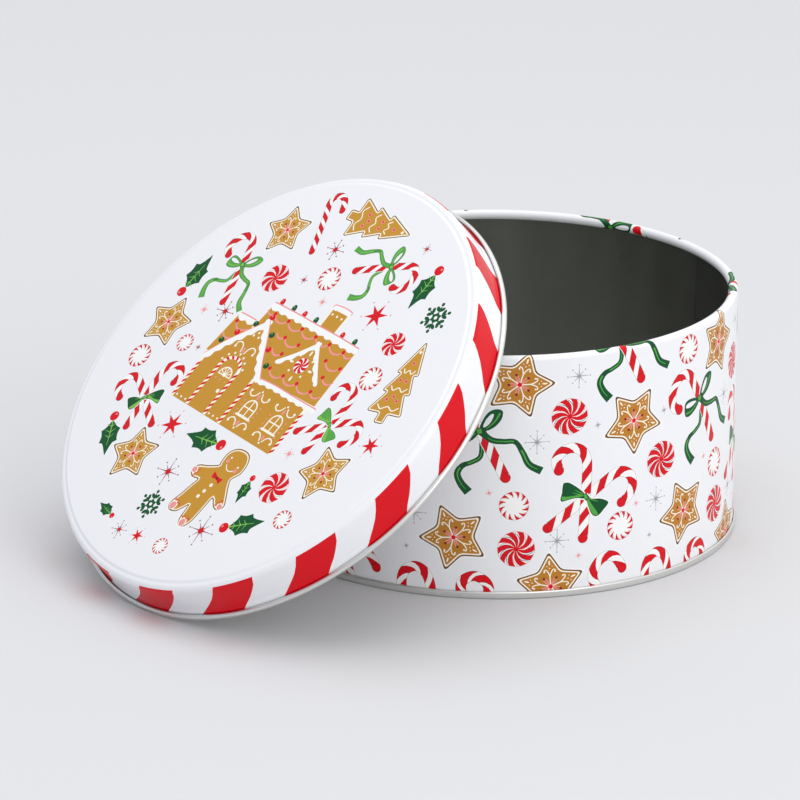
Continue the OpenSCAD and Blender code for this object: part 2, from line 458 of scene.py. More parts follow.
def candy_post(a, b, w=1.45, band=1.45, slant=1.5):
    """Striped post from a to b with slanted red bands."""
    a, b = np.array(a, float), np.array(b, float)
    d = b - a
    L = float(np.linalg.norm(d))
    d /= L
    n = np.array([-d[1], d[0]])
    out = [(stroke([a, b], w, cap=0), "icing")]
    x = 0.3
    while x + band + slant < L + 0.4:
        q = [a + d * x + n * w / 2, a + d * (x + slant) - n * w / 2, a + d * min(x + slant + band, L) - n * w / 2, a + d * min(x + band, L) + n * w / 2]
        out.append((np.array(q), "red"))
        x += band * 1.95
    return out


def snow(pts, w, inner, pink=None):
    """Icing along a roof line: smooth on its outer side, with drips of the given depth on its inner one."""
    p = curve(pts, 10)
    s = np.concatenate([[0], np.cumsum(np.linalg.norm(np.diff(p, axis=0), axis=1))])
    n = normals2(p)
    drip = w + inner * np.abs(np.sin(s * 0.62 + 0.4)) ** 1.5
    out = []
    if pink:
        out.append((stroke(p + n * 0.1, pink * 2, cap=4), "pink"))
    body = np.vstack([p + n * 0.05, (p - n * drip[:, None])[::-1]])
    out.append((body, "white"))
    out.append((stroke(p - n * w * 0.5, w, cap=5), "white"))
    return out


def house():
    """Gingerbread house with an iced roof, striped posts, a door, two windows and a dormer."""
    def g(x, y):
        return np.array([(x / 2.5 - 340) / 8, (340 - y / 2.5) / 8])

    def gp(*pts):
        return [g(x, y) for x, y in pts]

    out = []
    # chimney
    out.append((gp((985, 300), (996, 112), (1213, 124), (1196, 316)), "icing"))
    out.append((gp((1002, 300), (1010, 118), (1196, 130), (1182, 316)), "cookie"))
    out += snow(gp((1000, 96), (1012, 84), (1110, 80), (1205, 92), (1214, 108)), 1.5, 0.7, 0.45)
    for x, y in ((1037, 161), (1097, 165), (1157, 170)):
        out.append((disc(g(x, y), 0.55, 9), "icing"))
    # bulbs behind the ridge
    for x, y, c in ((467, 222, "red"), (625, 234, "green"), (768, 248, "red"), (920, 258, "green"), (1280, 290, "red"), (1445, 302, "green")):
        out.append((disc(g(x, y), 1.3, 12, 1.75), c))
        out.append((disc(g(x - 8, y - 12), 0.32, 6), "pink" if c == "red" else "leaf"))
    # roofs
    roof_l = gp((128, 450), (345, 470), (380, 800), (60, 812))
    out.append((offset(ccw(roof_l), 0.35), "icing"))
    out.append((roof_l, "cookie"))
    roof = gp((402, 270), (1530, 350), (1512, 895), (790, 850), (355, 620), (372, 440))
    out.append((offset(ccw(roof), 0.4), "icing"))
    out.append((roof, "cookie"))
    for y0, x0, x1, dots in ((332, 385, 1525, (482, 663, 850, 1037, 1222, 1410)), (478, 640, 1525, (745, 928, 1300, 1492)), (610, 700, 1525, (830, 1388)), (752, 815, 1500, (818, 1000, 1185, 1372))):
        drop = 0.083
        marks = [x0] + [x for x in dots] + [x1]
        for a, b in zip(marks[:-1], marks[1:]):
            if b - a < 30 or b - a > 260:
                continue
            ya, yb = y0 + (a - dots[0]) * drop, y0 + (b - dots[0]) * drop
            out.append((stroke(curve(gp(*[(a + (b - a) * u, ya + (yb - ya) * u + 50 * (b - a) / 185 * h) for u, h in ((0, 0), (0.2, 0.68), (0.5, 1), (0.8, 0.68), (1, 0))]), 3), 0.55, cap=2, mid=0.9), "pink"))
        for x in dots:
            out.append((disc(g(x, y0 + (x - dots[0]) * drop), 0.92, 10), "red"))
    out.append((stroke(curve(gp((165, 512), (200, 555), (260, 560), (330, 535)), 4), 0.8, cap=2), "pink"))
    out.append((stroke(curve(gp((105, 630), (150, 665), (210, 655)), 4), 0.8, cap=2), "pink"))
    out.append((disc(g(155, 502), 0.92, 10), "red"))
    out += snow(gp((150, 430), (240, 436), (335, 444)), 2.0, 0.9, 0.5)
    out += snow(gp((405, 250), (700, 268), (960, 290), (1250, 312), (1525, 340)), 2.3, 1.0, 0.5)
    # dormer
    out.append((gp((845, 690), (1118, 430), (1370, 735)), "cookie"))
    dl = [g(825, 668), g(960, 560), g(1118, 408)]
    dr = [g(1118, 408), g(1240, 560), g(1382, 722)]
    out += snow(dl, 1.7, 0.8)
    out += snow(dr, 1.7, 0.8)
    out += place(mint_swirl(7, None, 0.44), g(1100, 637), 10, 0.5)
    for (x, y), r, q in (((1112, 518), 1.25, 86), ((1088, 765), 1.25, 86), ((978, 632), 1.25, -4), ((1225, 655), 1.25, -4)):
        out.append((disc(g(x, y), r, 10, 0.5, q), "icing"))
    for x, y in ((1025, 560), (1185, 573), (1012, 708), (1170, 720)):
        out.append((disc(g(x, y), 0.55, 9), "icing"))
    # right-hand wall
    wall = gp((745, 860), (1460, 925), (1436, 1388), (715, 1322))
    out.append((wall, "cookie"))
    out += snow(gp((800, 862), (1000, 868), (1250, 892), (1540, 916)), 1.5, 0.8, 0.5)
    for cx, cy in ((908, 1122), (1255, 1152)):
        c = g(cx, cy)
        w = []
        arch = [(-3.85, -3.6)] + [tuple(pol(3.85, a) + np.array([0, 0.6])) for a in range(180, -1, -20)] + [(3.85, -3.6)]
        w.append((np.array(arch), "icing"))
        inn = [(-3.2, -3.1)] + [tuple(pol(3.2, a) + np.array([0, 0.6])) for a in range(180, -1, -20)] + [(3.2, -3.1)]
        w.append((np.array(inn), "cookie"))
        w.append((stroke([(0, -3.3), (0, 3.9)], 0.55, cap=0), "icing"))
        w.append((stroke([(-3.4, 0.3), (3.4, 0.3)], 0.55, cap=0), "icing"))
        w.append((stroke([(-4.4, -3.7), (4.4, -3.7)], 0.95, cap=2), "icing"))
        for s in (1, -1):
            w.append((stroke(curve([(1.1 * s, 7.9), (2.2 * s, 6.0), (4.2 * s, 5.3), (6.0 * s, 6.4), (5.9 * s, 7.4)], 4), 0.55, cap=2), "icing"))
            w.append((disc((5.85 * s, 7.3), 0.62, 9), "icing"))
            w.append((stroke(curve([(0.9 * s, -8.2), (2.0 * s, -6.2), (4.0 * s, -5.4), (5.9 * s, -6.5), (5.9 * s, -7.5)], 4), 0.55, cap=2), "icing"))
            w.append((disc((5.75 * s, -7.3), 0.62, 9), "icing"))
            for y in (-1.8, 0.4, 2.6, -4.2):
                w.append((disc((5.4 * s, y), 0.42, 7), "pink"))
        w.append((disc((0, 6.0), 0.6, 9, 1.3), "pink"))
        w.append((disc((0, -6.6), 0.6, 9, 1.3), "pink"))
        w.append((disc((0, 8.6), 0.5, 8), "icing"))
        w.append((disc((0, -9.0), 0.5, 8), "icing"))
        out += place(w, c, -5.0)
    # gable
    gable = gp((90, 840), (480, 430), (775, 862), (715, 1322), (55, 1260))
    out.append((gable, "cookie"))
    for x, y, c in ((480, 372, "red"), (365, 467, "green"), (600, 502, "green"), (240, 587, "red"), (670, 620, "red"), (140, 692, "green"), (765, 747, "green")):
        out.append((disc(g(x, y), 1.55, 12, 1.35), c))
        out.append((disc(g(x - 10, y - 12), 0.35, 6), "pink" if c == "red" else "leaf"))
    out += snow(gp((72, 845), (190, 690), (330, 545), (480, 398)), 2.3, 0.9, 0.28)
    out += snow(gp((480, 398), (590, 560), (690, 720), (800, 868)), 2.3, 0.9, 0.28)
    for x, y in ((463, 525), (428, 560), (490, 563), (435, 742), (373, 748), (493, 762), (320, 777), (541, 797), (284, 827), (568, 853)):
        out.append((disc(g(x, y), 0.55, 9), "icing"))
    for s in (1, -1):
        q = [(stroke(curve([(1.2 * s, -1.9), (2.0 * s, 0.6), (3.8 * s, 2.0), (5.9 * s, 1.2), (6.0 * s, -0.5)], 4), 0.55, cap=2), "icing"), (disc((5.9 * s, -0.6), 0.6, 9), "icing")]
        out += place(q, g(440, 690), -5)
    out.append((disc(g(437, 700), 0.6, 9, 1.3), "pink"))
    # door
    out.append((gp((285, 1275), (318, 880), (362, 818), (425, 800), (492, 822), (530, 880), (500, 1300)), "cookie"))
    c = g(424, 950)
    fan = [tuple(pol(4.0, a)) for a in range(0, 181, 18)]
    q = [(np.array(fan + [(-4.0, -0.3), (4.0, -0.3)]), "icing"), (np.array([tuple(pol(3.35, a)) for a in range(4, 177, 17)] + [(-3.3, 0.25), (3.3, 0.25)]), "cookie")]
    for a in (30, 60, 90, 120, 150):
        q.append((stroke([pol(0.4, a), pol(3.6, a)], 0.42, cap=0), "icing"))
    q.append((disc((0, 0.3), 0.95, 10), "icing"))
    out += place(q, c, -5)
    for x, y in ((358, 988), (415, 992), (478, 998)):
        out.append((disc(g(x, y), 0.42, 7), "pink"))
    out.append((disc(g(475, 1083), 0.9, 12), "icing"))
    arch = [g(303, 885), g(318, 840), g(358, 800), g(425, 783), g(492, 806), g(530, 850), g(540, 885)]
    ap = curve(arch, 8)
    sa = np.concatenate([[0], np.cumsum(np.linalg.norm(np.diff(ap, axis=0), axis=1))])
    out.append((stroke(ap, 1.6, cap=0), "icing"))
    na = normals2(ap)
    x = 0.8
    while x < sa[-1] - 1.4:
        q = []
        for d, side in ((x, 0.8), (x + 0.7, -0.8), (x + 1.9, -0.8), (x + 1.2, 0.8)):
            q.append(np.array([np.interp(d, sa, ap[:, 0]) + np.interp(d, sa, na[:, 0]) * side, np.interp(d, sa, ap[:, 1]) + np.interp(d, sa, na[:, 1]) * side]))
        out.append((np.array(q), "red"))
        x += 2.55
    out += candy_post(g(262, 1275), g(303, 872), 1.7)
    out += candy_post(g(505, 1298), g(543, 872), 1.7)
    out += candy_post(g(58, 1258), g(90, 868), 1.5)
    out += candy_post(g(708, 1318), g(745, 885), 1.7)
    out += candy_post(g(1420, 1386), g(1452, 938), 1.7)
    for x, y in ((103, 1234), (160, 1240), (218, 1245), (552, 1276), (610, 1281), (668, 1287)):
        out.append((disc(g(x, y), 0.5, 8), "icing"))
    return out


def fit(shapes, p0, p1, q0, q1, flip=False):
    """The shapes turned and sized so that their points p0 and p1 land on q0 and q1."""
    p0, p1, q0, q1 = [np.array(v, float) for v in (p0, p1, q0, q1)]
    if flip:
        p0, p1 = p0 * [-1, 1], p1 * [-1, 1]
    a, b = p1 - p0, q1 - q0
    size = float(np.linalg.norm(b) / np.linalg.norm(a))
    turn = math.degrees(math.atan2(b[1], b[0]) - math.atan2(a[1], a[0]))
    t = math.radians(turn)
    m = np.array([[math.cos(t), math.sin(t)], [-math.sin(t), math.cos(t)]]) * size
    return place(shapes, q0 - p0 @ m, turn, size, flip)


def lid_art():
    """The lid's print, seen square on with the down-slope side at the bottom, on an eighth-of-a-millimetre grid."""
    def g(x, y):
        return np.array([(x - 760) / 8, (760 - y) / 8])

    out = []
    star = cookie_star("cookie")
    for x, y, turn, size in ((414, 285, 18, 0.86), (214, 710, 0, 0.90), (462, 1145, 18, 0.93), (1243, 960, -40.6, 0.945)):
        out += place(star, g(x, y), turn, size)
    sw = mint_swirl(8, "pink", 0.48)
    for x, y, size in ((508, 446, 0.88), (1150, 498, 0.74), (1099, 1062, 0.95)):
        out += place(sw, g(x, y), 14, size)
    ring = mint_ring(12)
    for x, y, size in ((720, 382, 0.93), (1160, 627, 0.91), (342, 752, 0.69), (200, 848, 0.91), (1218, 1142, 0.72)):
        out += place(ring, g(x, y), 0, size)
    for x, y, size, turn in ((1004, 436, 0.98, 20), (1343, 822, 0.74, 18), (530, 1010, 0.93, 22)):
        out += place(red_star(), g(x, y), turn, size)
    for x, y, r in ((660, 287, 4.1), (625, 416, 2.4), (1010, 176, 2.7), (408, 608, 4.1), (651, 1152, 5.4), (944, 1278, 5.9), (407, 749, 1.6)):
        out += place(glint("deep", "deep" if r > 3 else None, "red", 0.4 if r > 3 else 0.28, 8, r), g(x, y), 4)
    for x, y, r in ((760, 460, 2.6), (319, 629, 2.5), (1062, 946, 2.8)):
        out += place(glint("pink", None, "pink", 0.34, 8, r), g(x, y), 12)
    for x, y, size in ((1234, 370, 1.06), (677, 1268, 0.99)):
        out += place(flake(), g(x, y), 8, size)
    for b, t in (((1117, 226), (1105, 378)), ((176, 603), (193, 452)), ((280, 1060), (355, 1190)), ((778, 1007), (612, 1018)), ((993, 1062), (996, 1157)), ((1022, 1240), (1158, 1168))):
        out += fit(holly(), (0.1, 2.1), (0.2, -16.4), g(*b), g(*t))
    out += cane([g(573, 321), g(548, 255), g(521, 190), g(502, 150), g(510, 125), g(534, 116), g(558, 130), g(573, 160)], 3.0, 0.0, 2.9, 2.6, 3.6)
    cb = cane_bow("ribbon", "leaf", "pine")
    out += fit(cb, (0, 0), (10.0, -18.6), g(338.6, 446), g(370.5, 582))
    out += fit(cb, (0, 0), (10.0, -18.6), g(925, 272), g(798, 326), True)
    out += fit(crossed("ribbon", "leaf", "pine"), (0, 0), (-0.9, -16.6), g(1133, 812), g(1112, 918))
    out += fit(crossed("green", "leaf", "pine"), (0, 0), (-0.9, -16.6), g(345, 965), g(356, 1075), True)
    out += fit(fir(), (-18.5, 0), (18.5, 0), g(611, 163), g(909, 155))
    out += fit(fir(), (-18.5, 0), (18.5, 0), g(1307, 746), g(1270, 450))
    out += house()
    out += place(little_man(), g(120 + 1100 / 1.5, 800 + 500 / 1.5))
    # a plain run of small festive motifs along the lower edge
    out += fit(holly(), (0.1, 2.1), (0.2, -16.4), g(560, 1352), g(478, 1330))
    out += place(glint("deep", "deep", "red", 0.3, 8, 3.6), g(628, 1382), 10)
    out += place(red_star(), g(715, 1376), 12, 0.55)
    out += place(mint_ring(12), g(832, 1375), 0, 0.62)
    return out


def wall_art(seam_at):
    """The wall's print: one motif set, repeated six times around. x runs along the wall from the side seam, y is height."""
    pitch = TAU * R / 6
    cell = []

    def g(x, y):
        return np.array([(x - 880) / 16 * 0.982, 98 - y / 16])

    star = cookie_star("biscuit")
    cell += cane([g(112, 1580), g(98, 1500), g(118, 1450), g(180, 1424), g(243, 1450), g(272, 1500), g(264, 1560)], 4.1, 0.0, 5.2, 3.4, 5.5)
    cell += cane([g(990, 1570), g(938, 1480), g(952, 1402), g(1012, 1347), g(1078, 1352), g(1120, 1395), g(1144, 1440)], 4.1, 0.0, 4.8, 3.4, 5.5)
    cell += cane([g(1322, 1570), g(1322, 1475), g(1350, 1418), g(1410, 1390), g(1465, 1412), g(1500, 1470), g(1518, 1560)], 4.1, 0.0, 5.2, 3.4, -5.5)
    for x, y, turn in ((1213, 498, -34.4), (450, 192, -17.4), (50, 1180, 22.6), (660, 1500, 4.0)):
        cell += place(star, g(x, y), turn, 1.03)
    sw = mint_swirl(10)
    for x, y in ((768, 412), (440, 1247), (1440, 793)):
        cell += place(sw, g(x, y), 8)
    for x, y in ((423, 968), (1125, 1162), (75, 140)):
        cell += place(mint_ring(12), g(x, y), 5)
    for x, y in ((825, 160), (562, 563), (697, 1207), (1400, 1040)):
        cell += place(glint("grey", "grey", None, 0.32, 8, 4.1), g(x, y), 0)
    for x, y, c, r in ((955, 488, "grey", 1.7), (268, 885, "pink", 1.7), (1240, 1038, "pink", 1.6), (838, 1315, "pink", 1.6), (1455, 480, "grey", 1.8), (1350, 1265, "grey", 1.3)):
        cell += place(glint(c, None, c, 0.24, 8, r), g(x, y), 10)
    cb = cane_bow("green", "ribbon", "pine")
    cell += place(cb, g(205, 490))
    cell += place(cb, g(1100, -62))
    cell += place(crossed("green", "ribbon", "pine"), g(880, 940))
    out = []
    at0 = (math.radians(-107.2 - seam_at) * R) % (TAU * R)
    for k in range(-1, 7):
        c = at0 + (k - 3) * pitch
        for p, ink in cell:
            out.append((np.array(p) + np.array([c, 0.0]), ink))
    return out


# ---------------------------------------------------------------- outlines to triangles
def clip(p, axis, limit, keep_above):
    out = []
    n = len(p)
    s = 1 if keep_above else -1
    for i in range(n):
        a, b = p[i], p[(i + 1) % n]
        da, db = s * (a[axis] - limit), s * (b[axis] - limit)
        if da >= 0:
            out.append(a)
        if (da >= 0) != (db >= 0):
            q = a + (b - a) * (da / (da - db))
            q[axis] = limit
            out.append(q)
    return np.array(out)


def inside(q, p):
    x, y = q[:, 0][:, None], q[:, 1][:, None]
    a, b = p, np.roll(p, -1, 0)
    ax, ay, bx, by = a[:, 0], a[:, 1], b[:, 0], b[:, 1]
    side = (bx - ax) * (y - ay) - (x - ax) * (by - ay)
    up = (ay <= y) & (by > y) & (side > 0)
    dn = (ay > y) & (by <= y) & (side < 0)
    return up.sum(1) != dn.sum(1)


def triangulate(shapes, points, lines, ground):
    """The plane cut along every outline and grid line, and the topmost ink of each triangle."""
    V, E = [np.asarray(points, float)], [np.asarray(lines, int)]
    base = len(points)
    for p, _ in shapes:
        n = len(p)
        V.append(p)
        i = np.arange(n)
        E.append(np.stack([base + i, base + (i + 1) % n], 1))
        base += n
    V, E = np.vstack(V), np.vstack(E)
    res = delaunay_2d_cdt([Vector(v) for v in V.tolist()], E.tolist(), [], 0, 1e-5, False)
    P = np.array([tuple(v) for v in res[0]], float)
    F = np.array([tuple(f) for f in res[2]], int)
    a, b, c = P[F[:, 0]], P[F[:, 1]], P[F[:, 2]]
    area = (b[:, 0] - a[:, 0]) * (c[:, 1] - a[:, 1]) - (b[:, 1] - a[:, 1]) * (c[:, 0] - a[:, 0])
    F[area < 0] = F[area < 0][:, ::-1]
    cen = (a + b + c) / 3
    ink = np.full(len(F), INK[ground])
    order = np.argsort(cen[:, 0])
    xs, ys = cen[order, 0], cen[order, 1]
    for p, name in shapes:
        lo, hi = p.min(0), p.max(0)
        i, j = np.searchsorted(xs, [lo[0], hi[0]])
        m = (ys[i:j] > lo[1]) & (ys[i:j] < hi[1])
        sel = order[i:j][m]
        if len(sel):
            ink[sel[inside(cen[sel], p)]] = INK[name]
    return P, F, ink


def tidy(shapes, lo, hi):
    """Shapes clipped to a box, with repeated points dropped."""
    out = []
    for p, name in shapes:
        p = np.array(p, float).reshape(-1, 2)
        if p[:, 0].max() <= lo[0] or p[:, 0].min() >= hi[0] or p[:, 1].max() <= lo[1] or p[:, 1].min() >= hi[1]:
            continue
        for axis in (0, 1):
            for lim, above in ((lo[axis], True), (hi[axis], False)):
                if len(p) and (p[:, axis].min() < lim if above else p[:, axis].max() > lim):
                    p = clip(p, axis, lim, above)
        if len(p) < 3:
            continue
        keep = np.linalg.norm(p - np.roll(p, 1, 0), axis=1) > 0.012
        p = p[keep]
        if len(p) >= 3:
            out.append((p, name))
    return out


# ---------------------------------------------------------------- sheet profiles, (r, h) in mm
def arc(c, r, a, b, n):
    w = np.radians(np.linspace(a, b, n + 1))
    return np.stack([c[0] + r * np.cos(w), c[1] + r * np.sin(w)], 1)


def ease(p, q, n, level):
    """Soft step between level ends, or soft flare between upright ends."""
    u = np.linspace(0, 1, n + 1)
    s = u * u * (3 - 2 * u)
    if level:
        return np.stack([p[0] + (q[0] - p[0]) * u, p[1] + (q[1] - p[1]) * s], 1)
    return np.stack([p[0] + (q[0] - p[0]) * s, p[1] + (q[1] - p[1]) * u], 1)


def chain(*parts):
    out = [np.asarray(parts[0], float)]
    for p in parts[1:]:
        p = np.asarray(p, float)
        out.append(p[1:] if np.linalg.norm(p[0] - out[-1][-1]) < 1e-6 else p)
    return np.vstack(out)


def sides(path, sign):
    """The sheet's two faces beside its centre line, with normals: sign 1 puts the outer face on the left of the path."""
    e = np.diff(path, axis=0)
    e /= np.linalg.norm(e, axis=1, keepdims=True)
    n = np.stack([-e[:, 1], e[:, 0]], 1)
    nn = np.vstack([n[:1], n[:-1] + n[1:], n[-1:]])
    nn /= np.linalg.norm(nn, axis=1, keepdims=True)
    nn *= sign
    return path + nn * T / 2, path - nn * T / 2, nn


class Sheet:
    """Vertices with their normals and map places, and faces with their inks, joined into one closed mesh."""

    def __init__(self):
        self.v, self.n, self.uv, self.f, self.m, self.c = [], [], [], [], [], 0

    def add(self, v, n, uv, faces, mats):
        self.v.append(v)
        self.n.append(n)
        self.uv.append(uv)
        self.f += [tuple(i + self.c for i in f) for f in faces]
        self.m += list(mats)
        self.c += len(v)

    def rings(self, prof, nor, mat, uvs, flip, angle0=0.0, span=TAU, cols=NSEG, wrap=True):
        """Bands between profile points turned about the axis. A point on the axis becomes a fan."""
        prof, nor = np.asarray(prof, float), np.asarray(nor, float)
        k = cols + 1
        th = angle0 + span * np.arange(k) / cols
        c, s = np.cos(th), np.sin(th)
        V = np.stack([np.outer(prof[:, 0], c), np.outer(prof[:, 0], s), np.repeat(prof[:, 1:2], k, 1)], -1).reshape(-1, 3)
        N = np.stack([np.outer(nor[:, 0], c), np.outer(nor[:, 0], s), np.repeat(nor[:, 1:2], k, 1)], -1).reshape(-1, 3)
        d = np.concatenate([[0], np.cumsum(np.linalg.norm(np.diff(prof, axis=0), axis=1))])
        U = uvs(np.repeat(d, k), np.tile(th - angle0, len(prof)))
        F, M = [], []
        for i in range(len(prof) - 1):
            for j in range(cols):
                a, b, e, f = i * k + j, i * k + j + 1, (i + 1) * k + j + 1, (i + 1) * k + j
                if prof[i, 0] < 1e-6:
                    q = (a, e, f) if flip else (a, f, e)
                else:
                    q = (a, b, e, f) if flip else (a, f, e, b)
                F.append(q)
                M.append(mat)
        self.add(V, N, U, F, M)

    def build(self, name, materials):
        v = np.vstack(self.v) * MM
        n = np.vstack(self.n)
        uv = np.vstack(self.uv)
        key = np.round(v * 1e7).astype(np.int64)
        _, first, inv = np.unique(key, axis=0, return_index=True, return_inverse=True)
        inv = inv.reshape(-1)
        faces, mats, loops = [], [], []
        for f, m in zip(self.f, self.m):
            g = [int(inv[i]) for i in f]
            if len(set(g)) < len(g):
                h, src = [], []
                for x, i in zip(g, f):
                    if x not in h:
                        h.append(x)
                        src.append(i)
                if len(h) < 3:
                    continue
                g, f = h, src
            faces.append(g)
            mats.append(m)
            loops += f
        me = bpy.data.meshes.new(name)
        me.from_pydata(v[first].tolist(), [], faces)
        for mt in materials:
            me.materials.append(mt)
        me.polygons.foreach_set("material_index", np.array(mats, np.int32))
        me.polygons.foreach_set("use_smooth", np.ones(len(faces), bool))
        layer = me.uv_layers.new(name="OFBake")
        layer.data.foreach_set("uv", uv[loops].astype(np.float32).ravel())
        me.update()
        me.normals_split_custom_set(n[loops].tolist())
        me.validate(clean_customdata=False)
        obj = bpy.data.objects.new(name, me)
        bpy.context.scene.collection.objects.link(obj)
        return obj


def turn_map(v, n, m, off):
    """Vertices and normals taken through the 3x3 matrix m, then moved by off."""
    return v @ m.T + off, n @ m.T


# ---------------------------------------------------------------- finishes
def finish_nodes(m, rough, spread, scale, bump, stretch=(1, 1, 1)):
    """Roughness from noise in the object's own space, and fine relief if asked for."""
    nt = m.node_tree
    b = nt.nodes["Principled BSDF"]
    tc = nt.nodes.new("ShaderNodeTexCoord")
    mp = nt.nodes.new("ShaderNodeMapping")
    mp.inputs["Scale"].default_value = stretch
    n1 = nt.nodes.new("ShaderNodeTexNoise")
    n1.inputs["Scale"].default_value = scale
    n1.inputs["Detail"].default_value = 4
    rg = nt.nodes.new("ShaderNodeMapRange")
    rg.inputs["From Min"].default_value = 0.3
    rg.inputs["From Max"].default_value = 0.7
    rg.inputs["To Min"].default_value = rough - spread
    rg.inputs["To Max"].default_value = rough + spread
    nt.links.new(tc.outputs["Object"], mp.inputs["Vector"])
    nt.links.new(mp.outputs["Vector"], n1.inputs["Vector"])
    nt.links.new(n1.outputs["Fac"], rg.inputs["Value"])
    nt.links.new(rg.outputs["Result"], b.inputs["Roughness"])
    if bump:
        n2 = nt.nodes.new("ShaderNodeTexNoise")
        n2.inputs["Scale"].default_value = scale * 9
        n2.inputs["Detail"].default_value = 2
        bp = nt.nodes.new("ShaderNodeBump")
        bp.inputs["Strength"].default_value = bump
        bp.inputs["Distance"].default_value = 0.00004
        nt.links.new(mp.outputs["Vector"], n2.inputs["Vector"])
        nt.links.new(n2.outputs["Fac"], bp.inputs["Height"])
        nt.links.new(bp.outputs["Normal"], b.inputs["Normal"])
    return b


def ink_finish(name, rgb):
    m = bpy.data.materials.new("ink_" + name)
    m.use_nodes = True
    b = finish_nodes(m, 0.34, 0.05, 70, 0.05)
    b.inputs["Base Color"].default_value = (*rgb, 1)
    b.inputs["Specular IOR Level"].default_value = 0.06
    b.inputs["Coat Weight"].default_value = 0.34
    b.inputs["Coat Roughness"].default_value = 0.06
    return m


def metal_finish(name, rgb, rough, spread, stretch):
    m = bpy.data.materials.new(name)
    m.use_nodes = True
    b = finish_nodes(m, rough, spread, 90, 0.0, stretch)
    b.inputs["Base Color"].default_value = (*rgb, 1)
    b.inputs["Metallic"].default_value = 1.0
    b.inputs["Specular IOR Level"].default_value = 0.5
    return m


FINISH = [ink_finish(n, c) for n, c in INKS.items()]
FINISH.append(metal_finish("tinplate_bare", (0.74, 0.74, 0.72), 0.36, 0.05, (1, 1, 0.15)))
# the wall's inner face: the same bare tinplate as the outside, but with a much darker base colour, painted shade for
# the dim inside of the tin
FINISH.append(metal_finish("tinplate_inside_painted_shade", (0.35, 0.36, 0.335), 0.34, 0.05, (1, 1, 0.12)))
FINISH.append(metal_finish("tinplate_pan", (0.64, 0.64, 0.62), 0.38, 0.05, (1, 1, 1)))

UVK = 1 / 640


def flat_uv(off):
    """Map places for a turned band: around the axis along u, along the profile along v."""
    return lambda d, a: np.stack([a * R * UVK + 0.01, d * UVK + off], 1)


def disc_uv(cx, cy, k=1 / 520):
    return lambda d, a: np.stack([cx + d * np.cos(a) * k, cy + d * np.sin(a) * k], 1)


